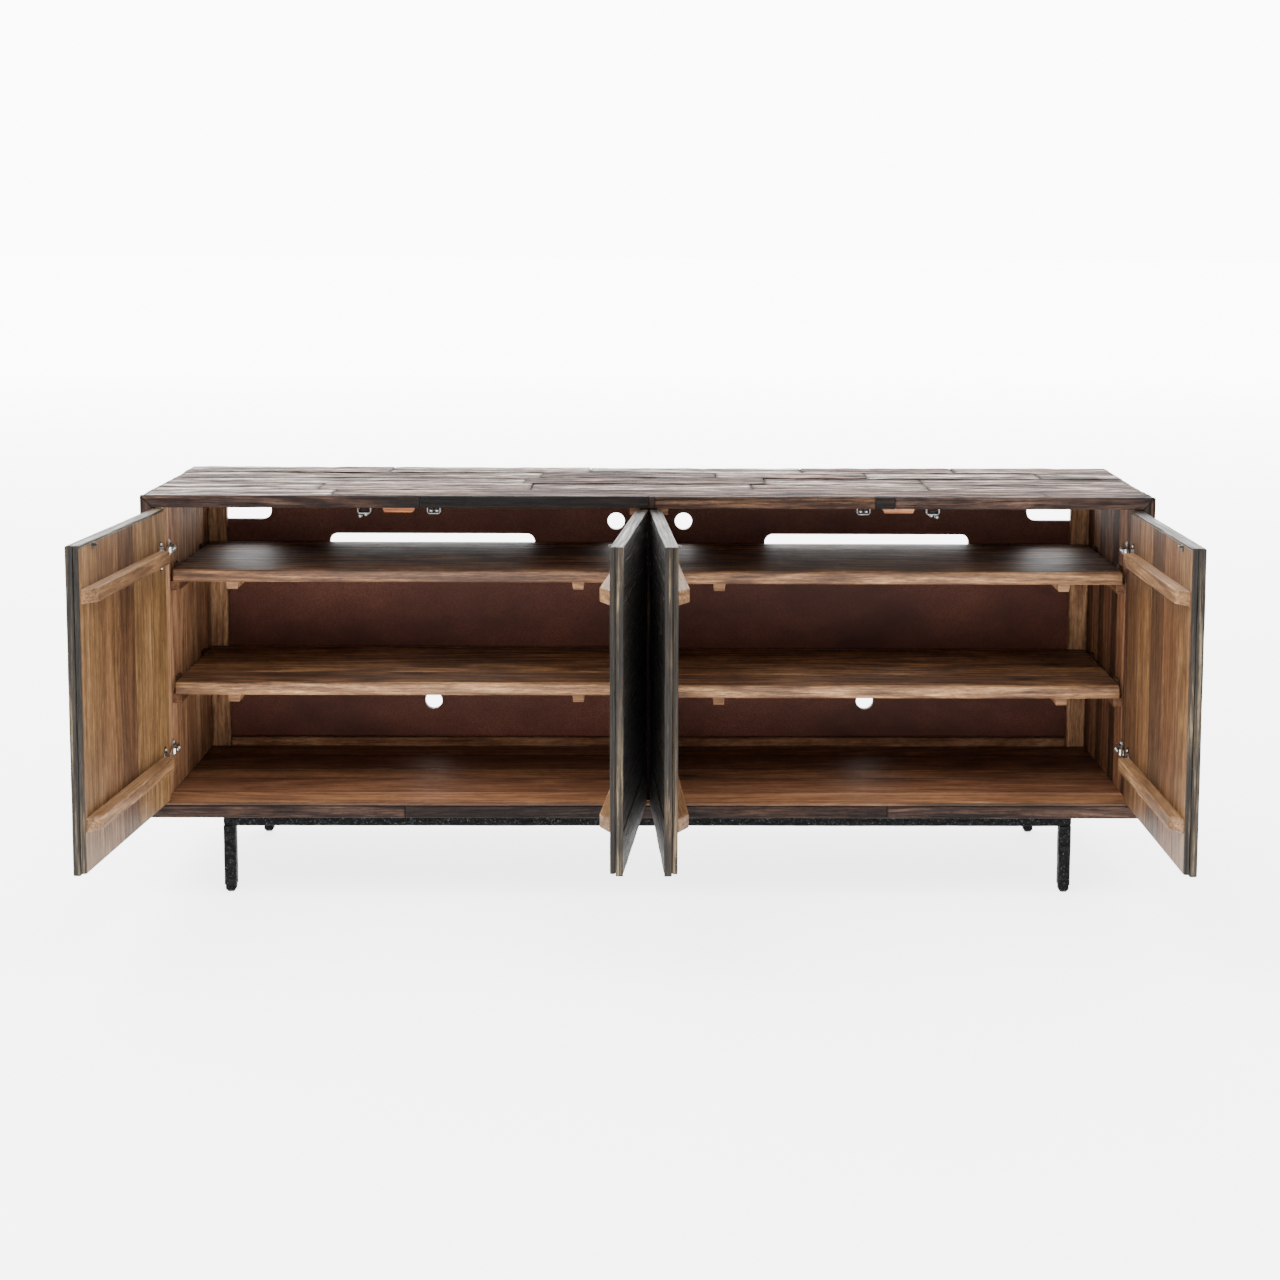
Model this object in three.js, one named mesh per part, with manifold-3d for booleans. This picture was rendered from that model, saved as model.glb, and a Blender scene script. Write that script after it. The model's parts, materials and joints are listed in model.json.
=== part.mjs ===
// Reclaimed-wood sideboard buffet with four hinged doors, two bays of shelves and a welded iron base.
// Millimetres, +Z up, front towards -Y. The doors stand open in the modelled pose.
import * as THREE from "three";
import { mergeVertices } from "three/addons/utils/BufferGeometryUtils.js";
import Module from "manifold-3d";

// ---- Driving dimensions -------------------------------------------------
const WIDTH = 2006; // outside of the case, along X
const DEPTH = 495; // front edge of the case to its rear edge, along Y
const HEIGHT = 813; // floor to the top surface
const SHELL = 24; // thickness of the mitred outer boards
const UNDERSIDE = 162; // floor to the underside of the case
const GAP = 0.3; // clearance between pieces that touch

const FLOOR_LINING = 6; // thin board laid over the bottom board
const SIDE_LINING = 12; // upright boards inside each end of the case
const DOOR_POCKET = 26; // depth kept free for the closed doors

const DOOR_FRONT = 14; // weathered outer layer of a door
const DOOR_INNER = 10; // plain inner panel of a door
const DOOR_TOP_GAP = 2;
const DOOR_BOTTOM_GAP = 2;
const DOOR_SIDE_GAP = 1; // hinge edge of an outer door to the end board
const DOOR_CENTRE_GAP = 1.5; // hinge edge of a centre door to the middle of the case
const DOOR_MEETING_GAP = 2; // between the free edges of a pair
const INNER_PANEL_LIFT = 4; // the inner panel stops this far above the door's bottom edge

const HINGE_INSET = 91; // hinge height from the door's top and bottom edges
const CUP_RADIUS = 17.5;
const CUP_SETBACK = 22.5; // cup centre from the hinge edge
const BATTEN_START = 42; // from the hinge edge
const BATTEN_END = 480;
const BATTEN_CHAMFER = 30; // length of the sloping end
const BATTEN_HEIGHT = 26;
const BATTEN_THICKNESS = 22;

const DIVIDER = 34; // thickness of the upright between the bays
const DIVIDER_BLOCK = { width: 76, drop: 16, depth: 24 };
const BACK_PANEL = 14;
const BACK_RECESS = 3; // rear face of the back, in from the rear edge of the case
const BACK_STILE = { width: 42, depth: 15.5 };
const BACK_RAIL_HEIGHT = 22;

const SHELF = { thickness: 24.5, front: 75, rear: 455, endGap: 7.5 };
const SHELF_TOPS = { left: { upper: 652, lower: 420 }, right: { upper: 649.5, lower: 415 } };
const STIFFENER = { width: 25, foot: 21, drop: 16, front: 86, rear: 440, inset: 118 };
const CLEAT = { height: 20, width: 18, front: 90, rear: 440, lug: 30, lugRise: 6 };
const CLEAT_LUGS = [120, 370]; // where each lug begins, along Y

const BAR = 24; // square iron bar
const LEG_CENTRE = 844.5; // from the middle of the case to a leg's centre
const BASE_FRONT = 27; // front edge of the case to the front face of the base
const BASE_REAR = 16; // rear edge of the case to the rear face of the base
const FOOT = { height: 14, width: 18 };

const CATCH = { width: 44, bowl: 27, corner: 4, drop: 15.5, depth: 22, sheet: 2 };
const CATCH_CENTRES = [427, 565];
const STOP_BLOCK = { width: 66, foot: 56, drop: 12, depth: 24, centre: 497 };

const SLOT = { from: 253, to: 703, bottom: 630, top: 667, radius: 18 };
const CORNER_WINDOW = { from: 830, to: 946, bottom: 698, top: 762, radius: 20 };
const CABLE_HOLE_RADIUS = 19;
const CABLE_HOLES = [
  { x: 74, z: 695 },
  { x: 478, z: 293 },
];

// How far each door stands open in the modelled pose, in degrees.
const OPEN_ANGLE = { left_outer: 94.8, left_centre: 85.2, right_centre: 86.5, right_outer: 90.5 };

// ---- Worked-out positions -----------------------------------------------
const HALF = WIDTH / 2;
const SIDE_FACE = HALF - SHELL; // inner face of an end board
const LINING_FACE = SIDE_FACE - SIDE_LINING;
const CEILING = HEIGHT - SHELL;
const BOTTOM_TOP = UNDERSIDE + SHELL;
const FLOOR_TOP = BOTTOM_TOP + FLOOR_LINING;
const DOOR_THICKNESS = DOOR_FRONT + DOOR_INNER;
const DOOR_TOP = CEILING - DOOR_TOP_GAP;
const DOOR_BOTTOM = FLOOR_TOP + DOOR_BOTTOM_GAP;
const OUTER_PIVOT = SIDE_FACE - DOOR_SIDE_GAP;
const CENTRE_PIVOT = DOOR_CENTRE_GAP;
const DOOR_WIDTH = (OUTER_PIVOT - CENTRE_PIVOT - DOOR_MEETING_GAP) / 2;
const BACK_REAR = DEPTH - BACK_RECESS;
const BACK_FRONT = BACK_REAR - BACK_PANEL;
const STILE_FRONT = BACK_FRONT - GAP - BACK_STILE.depth;
const HINGE_HEIGHTS = { lower: DOOR_BOTTOM + HINGE_INSET, upper: DOOR_TOP - HINGE_INSET };

// ---- Materials ----------------------------------------------------------
function finish(color, roughness, metalness = 0) {
  return new THREE.MeshStandardMaterial({ color, roughness, metalness });
}
const weatheredTop = () => finish(0x8f8279, 0.85);
const weatheredDark = () => finish(0x4f4039, 0.85);
const charcoalWood = () => finish(0x2c2723, 0.8);
const naturalWood = () => finish(0x97693f, 0.55);
const shelfWood = () => finish(0x8a6544, 0.5);
const paleWood = () => finish(0xbf9468, 0.6);
const backBoard = () => finish(0x4b2d26, 0.7);
const hammeredIron = () => finish(0x26282a, 0.5, 0.8);
const nickel = () => finish(0xb9b7b2, 0.3, 1);

// ---- Solid helpers ------------------------------------------------------
const wasm = await Module();
wasm.setup();

function toSolid(geometry) {
  const bare = new THREE.BufferGeometry();
  bare.setAttribute("position", geometry.getAttribute("position"));
  if (geometry.index) bare.setIndex(geometry.index);
  const merged = mergeVertices(bare, 1e-4);
  return new wasm.Manifold(
    new wasm.Mesh({
      numProp: 3,
      vertProperties: new Float32Array(merged.attributes.position.array),
      triVerts: new Uint32Array(merged.index.array),
    }),
  );
}

function toGeometry(solid) {
  const made = solid.getMesh();
  const geometry = new THREE.BufferGeometry();
  geometry.setAttribute("position", new THREE.BufferAttribute(made.vertProperties, 3));
  geometry.setIndex(new THREE.BufferAttribute(made.triVerts, 1));
  return geometry;
}

function joined(geometries) {
  return toGeometry(geometries.map(toSolid).reduce((whole, next) => whole.add(next)));
}

// A box from its lowest to its highest corner.
function block(x0, x1, y0, y1, z0, z1) {
  const geometry = new THREE.BoxGeometry(x1 - x0, y1 - y0, z1 - z0);
  return geometry.translate((x0 + x1) / 2, (y0 + y1) / 2, (z0 + z1) / 2);
}

// An outline of [x, z] points, drawn out along Y from y0 to y1.
function frontProfile(outline, y0, y1, holes = []) {
  const shape = new THREE.Shape(outline.map(([x, z]) => new THREE.Vector2(x, z)));
  shape.holes.push(...holes);
  const geometry = new THREE.ExtrudeGeometry(shape, {
    depth: y1 - y0,
    bevelEnabled: false,
    curveSegments: 10,
  });
  return geometry.rotateX(Math.PI / 2).translate(0, y1, 0);
}

function rectangle(x0, x1, z0, z1) {
  return [
    [x0, z0],
    [x1, z0],
    [x1, z1],
    [x0, z1],
  ];
}

function roundHole(x, z, radius) {
  return new THREE.Path().absarc(x, z, radius, 0, 2 * Math.PI, true);
}

function roundedWindow(x0, x1, z0, z1, radius) {
  const path = new THREE.Path();
  path.absarc(x0 + radius, z0 + radius, radius, -Math.PI / 2, -Math.PI, true);
  path.absarc(x0 + radius, z1 - radius, radius, Math.PI, Math.PI / 2, true);
  path.absarc(x1 - radius, z1 - radius, radius, Math.PI / 2, 0, true);
  path.absarc(x1 - radius, z0 + radius, radius, 0, -Math.PI / 2, true);
  return path;
}

function piece(name, geometry, material) {
  const mesh = new THREE.Mesh(geometry, material);
  mesh.name = name;
  return mesh;
}

// Calls make(sideName, sign) for the left and the right half of the case.
function eachSide(make) {
  return [
    make("left", -1),
    make("right", 1),
  ].flat();
}

// A box given by its distances from the middle of the case, on the side of sign.
function sideBlock(sign, near, far, y0, y1, z0, z1) {
  const [x0, x1] = sign > 0 ? [near, far] : [-far, -near];
  return block(x0, x1, y0, y1, z0, z1);
}

// ---- Outer case ---------------------------------------------------------
function topPanel() {
  const outline = [
    [-SIDE_FACE + GAP, CEILING],
    [SIDE_FACE - GAP, CEILING],
    [HALF - GAP, HEIGHT],
    [-HALF + GAP, HEIGHT],
  ];
  return piece("top_panel", frontProfile(outline, 0, DEPTH), weatheredTop());
}

function bottomPanel() {
  const outline = [
    [-HALF + GAP, UNDERSIDE],
    [HALF - GAP, UNDERSIDE],
    [SIDE_FACE - GAP, BOTTOM_TOP],
    [-SIDE_FACE + GAP, BOTTOM_TOP],
  ];
  return piece("bottom_panel", frontProfile(outline, 0, DEPTH), weatheredDark());
}

function sidePanels() {
  return eachSide((side, sign) => {
    const outline = [
      [sign * HALF, UNDERSIDE],
      [sign * HALF, HEIGHT],
      [sign * SIDE_FACE, CEILING],
      [sign * SIDE_FACE, BOTTOM_TOP],
    ];
    return piece(`side_panel_${side}`, frontProfile(outline, 0, DEPTH), weatheredDark());
  });
}

// ---- Inner lining, divider and back -------------------------------------
function floorLining() {
  const edge = SIDE_FACE - GAP;
  const front = 3;
  const geometry = block(-edge, edge, front, BACK_FRONT - GAP, BOTTOM_TOP + GAP, FLOOR_TOP);
  return piece("floor_lining", geometry, shelfWood());
}

function sideLinings() {
  return eachSide((side, sign) => {
    const geometry = sideBlock(
      sign, LINING_FACE, SIDE_FACE - GAP,
      DOOR_POCKET, BACK_FRONT - GAP,
      FLOOR_TOP + GAP, CEILING - GAP,
    );
    return piece(`side_lining_${side}`, geometry, naturalWood());
  });
}

function centreDivider() {
  const half = DIVIDER / 2;
  const top = CEILING - GAP;
  const panel = block(-half, half, DOOR_POCKET, STILE_FRONT - GAP, FLOOR_TOP + GAP, top);
  const blockHalf = DIVIDER_BLOCK.width / 2;
  const corner = block(
    -blockHalf, blockHalf,
    DOOR_POCKET, DOOR_POCKET + DIVIDER_BLOCK.depth,
    CEILING - DIVIDER_BLOCK.drop, top,
  );
  return piece("centre_divider", joined([panel, corner]), naturalWood());
}

function backPanels() {
  return eachSide((side, sign) => {
    const across = (near, far) => (sign > 0 ? [near, far] : [-far, -near]);
    const [x0, x1] = across(GAP / 2, SIDE_FACE - GAP);
    const [slot0, slot1] = across(SLOT.from, SLOT.to);
    const [window0, window1] = across(CORNER_WINDOW.from, CORNER_WINDOW.to);
    const holes = [
      roundedWindow(slot0, slot1, SLOT.bottom, SLOT.top, SLOT.radius),
      roundedWindow(
        window0, window1, CORNER_WINDOW.bottom, CORNER_WINDOW.top, CORNER_WINDOW.radius,
      ),
      ...CABLE_HOLES.map(({ x, z }) => roundHole(sign * x, z, CABLE_HOLE_RADIUS)),
    ];
    const outline = rectangle(x0, x1, BOTTOM_TOP + GAP, CEILING - GAP);
    const geometry = frontProfile(outline, BACK_FRONT, BACK_REAR, holes);
    return piece(`back_panel_${side}`, geometry, backBoard());
  });
}

function backStiles() {
  const far = LINING_FACE - GAP;
  return eachSide((side, sign) => {
    const geometry = sideBlock(
      sign, far - BACK_STILE.width, far,
      STILE_FRONT, STILE_FRONT + BACK_STILE.depth,
      FLOOR_TOP + GAP, CEILING - GAP,
    );
    return piece(`back_stile_${side}`, geometry, naturalWood());
  });
}

function backRail() {
  const half = LINING_FACE - BACK_STILE.width - 2 * GAP;
  const bottom = FLOOR_TOP + GAP;
  const geometry = block(
    -half, half,
    STILE_FRONT, STILE_FRONT + BACK_STILE.depth,
    bottom, bottom + BACK_RAIL_HEIGHT,
  );
  return piece("back_rail", geometry, naturalWood());
}

// ---- Shelves and what carries them --------------------------------------
const SHELF_NEAR = DIVIDER / 2 + SHELF.endGap;
const SHELF_FAR = LINING_FACE - SHELF.endGap;

// A shelf board with two tapered stiffeners glued under it.
function shelf(side, sign, level) {
  const top = SHELF_TOPS[side][level];
  const under = top - SHELF.thickness;
  const board = sideBlock(sign, SHELF_NEAR, SHELF_FAR, SHELF.front, SHELF.rear, under, top);
  const centres = [SHELF_NEAR + STIFFENER.inset, SHELF_FAR - STIFFENER.inset];
  const stiffeners = centres.map((distance) => {
    const x = sign * distance;
    const outline = [
      [x - STIFFENER.foot / 2, under - STIFFENER.drop],
      [x + STIFFENER.foot / 2, under - STIFFENER.drop],
      [x + STIFFENER.width / 2, under],
      [x - STIFFENER.width / 2, under],
    ];
    return frontProfile(outline, STIFFENER.front, STIFFENER.rear);
  });
  return piece(`shelf_${side}_${level}`, joined([board, ...stiffeners]), shelfWood());
}

// The wall strip under one end of a shelf. Its lugs rise past the shelf's end and locate it.
function cleat(side, sign, level, place) {
  const top = SHELF_TOPS[side][level];
  const stripTop = top - SHELF.thickness - GAP;
  const onWall = place === "outer";
  const wall = onWall ? LINING_FACE - GAP : DIVIDER / 2 + GAP;
  const inward = onWall ? -1 : 1;
  const span = (reach) => [wall, wall + inward * reach].sort((a, b) => a - b);
  const lugReach = SHELF.endGap - 3 * GAP;
  const strip = sideBlock(
    sign, ...span(CLEAT.width), CLEAT.front, CLEAT.rear, stripTop - CLEAT.height, stripTop,
  );
  const lugs = CLEAT_LUGS.map((start) =>
    sideBlock(
      sign, ...span(lugReach), start, start + CLEAT.lug,
      stripTop - CLEAT.height / 2, top + CLEAT.lugRise,
    ),
  );
  return piece(`cleat_${side}_${level}_${place}`, joined([strip, ...lugs]), naturalWood());
}

function shelving() {
  const levels = ["lower", "upper"];
  return eachSide((side, sign) =>
    levels.flatMap((level) => [
      shelf(side, sign, level),
      cleat(side, sign, level, "outer"),
      cleat(side, sign, level, "inner"),
    ]),
  );
}

// ---- Iron base ----------------------------------------------------------
const BASE_TOP = UNDERSIDE - GAP;
const BASE_Y = { front: BASE_FRONT, rear: DEPTH - BASE_REAR };

// A welded ring of square bar under the case.
function baseFrame() {
  const outer = LEG_CENTRE + BAR / 2;
  const shape = new THREE.Shape();
  shape.moveTo(-outer, BASE_Y.front);
  shape.lineTo(outer, BASE_Y.front);
  shape.lineTo(outer, BASE_Y.rear);
  shape.lineTo(-outer, BASE_Y.rear);
  const inner = outer - BAR;
  const middle = new THREE.Path();
  middle.moveTo(-inner, BASE_Y.front + BAR);
  middle.lineTo(-inner, BASE_Y.rear - BAR);
  middle.lineTo(inner, BASE_Y.rear - BAR);
  middle.lineTo(inner, BASE_Y.front + BAR);
  shape.holes.push(middle);
  const geometry = new THREE.ExtrudeGeometry(shape, { depth: BAR, bevelEnabled: false });
  return piece("base_frame", geometry.translate(0, 0, BASE_TOP - BAR), hammeredIron());
}

// A square leg with a tapered tip, turned as a four-sided lathe.
function leg(name, x, y) {
  const toCorner = Math.SQRT1_2;
  const profile = [
    [0, 0],
    [FOOT.width * toCorner, 0],
    [BAR * toCorner, FOOT.height],
    [BAR * toCorner, BASE_TOP - BAR - GAP],
    [0, BASE_TOP - BAR - GAP],
  ].map(([radius, height]) => new THREE.Vector2(radius, height));
  const sides = 4;
  const geometry = new THREE.LatheGeometry(profile, sides, Math.PI / sides);
  const mesh = piece(name, geometry.rotateX(Math.PI / 2), hammeredIron());
  mesh.position.set(x, y, 0);
  return mesh;
}

function legs() {
  const rows = [
    ["front", BASE_Y.front + BAR / 2],
    ["rear", BASE_Y.rear - BAR / 2],
  ];
  return eachSide((side, sign) =>
    rows.map(([row, y]) => leg(`leg_${row}_${side}`, sign * LEG_CENTRE, y)),
  );
}

// ---- Hardware on the case -----------------------------------------------
const HINGE_ARM = {
  reach: 13, // how far it stands off the wall
  front: 50,
  rear: 104,
  height: 14,
  plate: { thickness: 3, front: 62, rear: 76, height: 52 },
};

// The fixed arm of a cup hinge, on its mounting plate.
function hingeArm(name, sign, wall, inward, z) {
  const span = (reach) => [wall, wall + inward * reach].sort((a, b) => a - b);
  const { reach, front, rear, height, plate } = HINGE_ARM;
  const arm = sideBlock(sign, ...span(reach), front, rear, z - height / 2, z + height / 2);
  const base = sideBlock(
    sign, ...span(plate.thickness), plate.front, plate.rear,
    z - plate.height / 2, z + plate.height / 2,
  );
  return piece(name, joined([arm, base]), nickel());
}

function hingeArms() {
  return eachSide((side, sign) =>
    Object.entries(HINGE_HEIGHTS).flatMap(([level, z]) => [
      hingeArm(`hinge_arm_${side}_outer_${level}`, sign, LINING_FACE - GAP, -1, z),
      hingeArm(`hinge_arm_${side}_centre_${level}`, sign, DIVIDER / 2 + GAP, 1, z),
    ]),
  );
}

// A hat-shaped strap hung under the top by its flanges. The door's strike enters it along Y.
function doorCatch(name, x) {
  const { width, bowl, corner, drop, depth, sheet } = CATCH;
  const half = width / 2;
  const bowlHalf = bowl / 2;
  const top = CEILING - GAP;
  const bottom = CEILING - drop;
  const outline = [
    [x - half, top - sheet],
    [x - bowlHalf, top - sheet],
    [x - bowlHalf, bottom + corner],
    [x - bowlHalf + corner, bottom],
    [x + bowlHalf - corner, bottom],
    [x + bowlHalf, bottom + corner],
    [x + bowlHalf, top - sheet],
    [x + half, top - sheet],
    [x + half, top],
    [x - half, top],
  ];
  const inside = bowlHalf - sheet;
  const mouth = roundedWindow(x - inside, x + inside, bottom + sheet, top - sheet, sheet);
  const front = DOOR_POCKET;
  return piece(name, frontProfile(outline, front, front + depth, [mouth]), nickel());
}

function catches() {
  const [centreCatch, outerCatch] = CATCH_CENTRES;
  return eachSide((side, sign) => [
    doorCatch(`catch_${side}_centre`, sign * centreCatch),
    doorCatch(`catch_${side}_outer`, sign * outerCatch),
  ]);
}

// A small block that both doors of a pair close against.
function stopBlocks() {
  const bottom = CEILING - STOP_BLOCK.drop;
  return eachSide((side, sign) => {
    const x = sign * STOP_BLOCK.centre;
    const outline = [
      [x - STOP_BLOCK.foot / 2, bottom],
      [x + STOP_BLOCK.foot / 2, bottom],
      [x + STOP_BLOCK.width / 2, CEILING - GAP],
      [x - STOP_BLOCK.width / 2, CEILING - GAP],
    ];
    const geometry = frontProfile(outline, DOOR_POCKET, DOOR_POCKET + STOP_BLOCK.depth);
    return piece(`stop_block_${side}`, geometry, paleWood());
  });
}

// ---- Doors --------------------------------------------------------------
// A door is built closed, in its own group at the hinge edge: along reaches from that edge
// towards the free edge, which lies on +X where toward is 1 and on -X where it is -1.
function doorBlock(toward, from, to, y0, y1, z0, z1) {
  const [x0, x1] = toward > 0 ? [from, to] : [-to, -from];
  return block(x0, x1, y0, y1, z0, z1);
}

function doorFront(name, toward) {
  const geometry = doorBlock(
    toward, 0, DOOR_WIDTH, 0, DOOR_FRONT - GAP, DOOR_BOTTOM, DOOR_TOP,
  );
  return piece(`${name}_front`, geometry, charcoalWood());
}

function doorInner(name, toward) {
  const [x0, x1] = toward > 0 ? [0, DOOR_WIDTH] : [-DOOR_WIDTH, 0];
  const cups = Object.values(HINGE_HEIGHTS).map((z) =>
    roundHole(toward * CUP_SETBACK, z, CUP_RADIUS),
  );
  const outline = rectangle(x0, x1, DOOR_BOTTOM + INNER_PANEL_LIFT, DOOR_TOP);
  const geometry = frontProfile(outline, DOOR_FRONT, DOOR_THICKNESS, cups);
  return piece(`${name}_inner`, geometry, naturalWood());
}

// A stiffening batten across the inner face, sloped off at the free end.
function doorBatten(name, toward, level) {
  const outline = [
    [BATTEN_START, DOOR_THICKNESS + GAP],
    [BATTEN_END, DOOR_THICKNESS + GAP],
    [BATTEN_END - BATTEN_CHAMFER, DOOR_THICKNESS + BATTEN_THICKNESS],
    [BATTEN_START, DOOR_THICKNESS + BATTEN_THICKNESS],
  ];
  const shape = new THREE.Shape(outline.map(([along, y]) => new THREE.Vector2(toward * along, y)));
  const geometry = new THREE.ExtrudeGeometry(shape, {
    depth: BATTEN_HEIGHT,
    bevelEnabled: false,
  });
  geometry.translate(0, 0, HINGE_HEIGHTS[level] - BATTEN_HEIGHT / 2);
  return piece(`${name}_batten_${level}`, geometry, paleWood());
}

function door(place, pivot, toward) {
  const name = `door_${place}`;
  const group = new THREE.Group();
  group.add(
    doorFront(name, toward),
    doorInner(name, toward),
    doorBatten(name, toward, "lower"),
    doorBatten(name, toward, "upper"),
  );
  group.position.x = pivot;
  group.rotation.z = -toward * THREE.MathUtils.degToRad(OPEN_ANGLE[place]);
  return group;
}

function doors() {
  return [
    door("left_outer", -OUTER_PIVOT, 1),
    door("left_centre", -CENTRE_PIVOT, -1),
    door("right_centre", CENTRE_PIVOT, 1),
    door("right_outer", OUTER_PIVOT, -1),
  ];
}

// ---- Assembly -----------------------------------------------------------
const cabinet = new THREE.Group();
cabinet.add(
  topPanel(),
  bottomPanel(),
  ...sidePanels(),
  floorLining(),
  ...sideLinings(),
  centreDivider(),
  ...backPanels(),
  ...backStiles(),
  backRail(),
  ...shelving(),
  baseFrame(),
  ...legs(),
  ...hingeArms(),
  ...catches(),
  ...stopBlocks(),
  ...doors(),
);

// The origin is the middle of the whole outline on the floor, open doors included.
const envelope = new THREE.Box3().setFromObject(cabinet, true);
const middle = envelope.getCenter(new THREE.Vector3());
cabinet.position.set(-middle.x, -middle.y, 0);

const sideboard = new THREE.Group();
sideboard.add(cabinet);

export default sideboard;
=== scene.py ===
"""Looks of the reclaimed-wood sideboard: worn boards, hammered iron and cup hinges.

Metres in the row frame: X to the right, Y to the back, Z up from the floor.
"""

import json
import math
import random

import bmesh
import bpy
from mathutils import Matrix, Vector, noise


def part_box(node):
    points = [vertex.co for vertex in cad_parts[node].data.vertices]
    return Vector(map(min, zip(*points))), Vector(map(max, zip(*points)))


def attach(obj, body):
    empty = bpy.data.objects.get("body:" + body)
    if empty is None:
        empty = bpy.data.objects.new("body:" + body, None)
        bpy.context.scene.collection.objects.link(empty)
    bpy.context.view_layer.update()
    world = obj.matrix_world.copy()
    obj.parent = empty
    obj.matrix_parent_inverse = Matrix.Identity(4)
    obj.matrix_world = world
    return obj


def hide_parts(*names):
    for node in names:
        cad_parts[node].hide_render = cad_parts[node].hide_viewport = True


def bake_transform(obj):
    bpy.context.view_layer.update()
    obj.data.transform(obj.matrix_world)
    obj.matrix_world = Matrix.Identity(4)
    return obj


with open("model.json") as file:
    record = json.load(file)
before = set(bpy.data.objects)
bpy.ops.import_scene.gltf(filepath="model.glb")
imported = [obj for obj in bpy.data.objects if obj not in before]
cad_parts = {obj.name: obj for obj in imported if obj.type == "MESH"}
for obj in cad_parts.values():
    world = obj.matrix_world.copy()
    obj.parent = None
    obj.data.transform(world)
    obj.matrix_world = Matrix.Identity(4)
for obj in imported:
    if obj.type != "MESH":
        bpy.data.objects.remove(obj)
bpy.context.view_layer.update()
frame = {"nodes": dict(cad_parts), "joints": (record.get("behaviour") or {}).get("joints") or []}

# ---- Places taken from the frame ----
X = Vector((1, 0, 0))
Y = Vector((0, 1, 0))
Z = Vector((0, 0, 1))
SIDES = {"left": -1, "right": 1}


def low(node):
    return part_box(node)[0]


def high(node):
    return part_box(node)[1]


CASE_LEFT = low("side_panel_left").x
CASE_RIGHT = high("side_panel_right").x
CASE_FRONT = low("side_panel_left").y
CASE_REAR = high("side_panel_left").y
CASE_BOTTOM = low("bottom_panel").z
CASE_TOP = high("top_panel").z
MIDDLE = (CASE_LEFT + CASE_RIGHT) / 2
HALF = (CASE_RIGHT - CASE_LEFT) / 2
SHELL = CASE_TOP - low("top_panel").z


def facing(side, place):
    """1 at the left wall of a bay, which faces +X, and -1 at its right wall."""
    return 1 if (side == "left") == (place == "outer") else -1


# ---- Sizes that only the looks have ----
VENEER = 0.010  # reclaimed boards laid over the core of the case
BAND = 0.007  # strip along the front edges of the case
BOARDS_FRONT = CASE_FRONT + BAND
SEAM = 0.0004  # gap between glued boards
EDGE_WEAR_AND_SHADE = 0.003  # width of the border of a board in the edge colour: rubbed wear, and painted shade in the seams where that colour is dark
DOOR_FRONT = 0.014
DOOR_INNER = 0.010
DOOR_THICKNESS = DOOR_FRONT + DOOR_INNER
GLUE_FACE = DOOR_FRONT - 0.0003  # inner face of a door's plank layer
DOOR_WIDTH = 0.48725
EDGING = 0.0035  # weathered strip over the free and top edges of a door
CUP_SETBACK = 0.0225  # from a door's hinge edge to the middle of its cups
HINGE_INSET = 0.091  # from a door's top or bottom to its hinge
OPEN_ANGLE = {  # degrees from closed, at rest
    "door_left_outer": 94.8,
    "door_left_centre": 85.2,
    "door_right_centre": 86.5,
    "door_right_outer": 90.5,
}
STRIKE_ALONG = {"outer": 0.413, "centre": 0.4255}  # from the hinge edge
STRIP_LOOKS = {"bevel": 0.0011, "rough": 0.0006, "pitch": 0.014, "lane": 0.006}

chance = random.Random(7)


# ---- Mesh building ----
def scatter(axes=3):
    """A random place in the wood pattern, so that no two boards match."""
    return Vector([chance.uniform(0, 40) for _ in range(axes)] + [0.0] * (3 - axes))


def add_object(name, data):
    made = bpy.data.objects.new(name, data)
    bpy.context.scene.collection.objects.link(made)
    return made


class Part:
    """Gathers the faces of one piece, with the wood coordinates its material reads."""

    def __init__(self, name, material, space=None):
        self.name = name
        self.material = material
        self.space = space or Matrix.Identity(4)
        self.points = []
        self.faces = []
        self.grain = []
        self.tone = []
        self.edge = []

    def point(self, place, grain, tone=0.5, edge=0.0):
        self.points.append(self.space @ place)
        self.grain.append(grain)
        self.tone.append(tone)
        self.edge.append(edge)
        return len(self.points) - 1

    def bridge(self, rings):
        """Joins rings of points into a tube and closes both of its ends."""
        count = len(rings[0])
        for first, second in zip(rings, rings[1:]):
            for i in range(count):
                j = (i + 1) % count
                self.faces.append((first[i], first[j], second[j], second[i]))
        self.faces.append(tuple(reversed(rings[0])))
        self.faces.append(tuple(rings[-1]))

    def build(self):
        mesh = bpy.data.meshes.new(self.name)
        mesh.from_pydata(self.points, [], self.faces)
        grain = mesh.attributes.new("grain", "FLOAT_VECTOR", "POINT")
        grain.data.foreach_set("vector", [value for place in self.grain for value in place])
        for name, values in (("tone", self.tone), ("edge", self.edge)):
            mesh.attributes.new(name, "FLOAT", "POINT").data.foreach_set("value", values)
        work = bmesh.new()
        work.from_mesh(mesh)
        bmesh.ops.recalc_face_normals(work, faces=work.faces)
        work.to_mesh(mesh)
        work.free()
        mesh.shade_smooth()
        mesh.set_sharp_from_angle(angle=math.radians(30))
        mesh.materials.append(self.material)
        return add_object(self.name, mesh)

    def place(self, body, slot, replaces=()):
        made = self.build()
        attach(made, body)
        if replaces:
            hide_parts(*replaces)
        return made


def steps(length, border, pitch):
    """Stations from 0 to length: both ends, their border of rubbed wear and painted seam shade, and even
    steps between.
    """
    inner = length - 2 * border
    count = max(1, round(inner / pitch))
    return [border + inner * i / count for i in range(count + 1)]


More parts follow.
